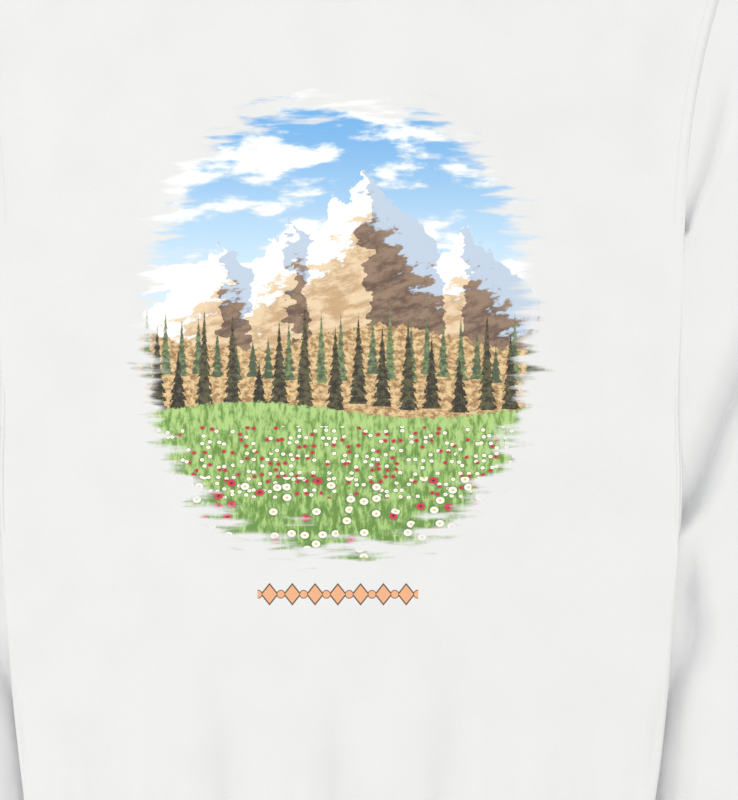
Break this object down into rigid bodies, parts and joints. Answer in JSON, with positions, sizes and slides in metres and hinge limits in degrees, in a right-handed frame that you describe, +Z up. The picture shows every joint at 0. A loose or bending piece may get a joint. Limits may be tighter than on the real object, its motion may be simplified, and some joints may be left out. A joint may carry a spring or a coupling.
{
  "type": "crew-neck sweatshirt",
  "caption": "Long-sleeved crew-neck sweatshirt of white fleece with ribbed neck, cuffs and hem, lying on its back with the sleeves beside the body.",
  "frame": {"origin": "on the floor, under the middle of the whole garment's length and width", "axes": "+X towards the wearer's left sleeve, +Y from the hem to the neck, +Z up off the floor, out of the front"},
  "size_m": [0.868, 0.7824, 0.0572],
  "materials": {
    "printed_fleece": "soft white fleece with a smooth knitted face and a printed landscape on the chest",
    "fleece": "soft white fleece with a smooth knitted face and a brushed inside",
    "rib_knit": "white ribbed knit, matt",
    "thread": "white twin-needle stitching and neck tape"
  },
  "bodies": {
    "root": {"body_front": "printed_fleece", "body_back": "fleece", "sleeve_left": "fleece", "sleeve_right": "fleece", "hem_band": "rib_knit", "cuff_left": "rib_knit", "cuff_right": "rib_knit", "neckband": "rib_knit"}
  },
  "joints": []
}
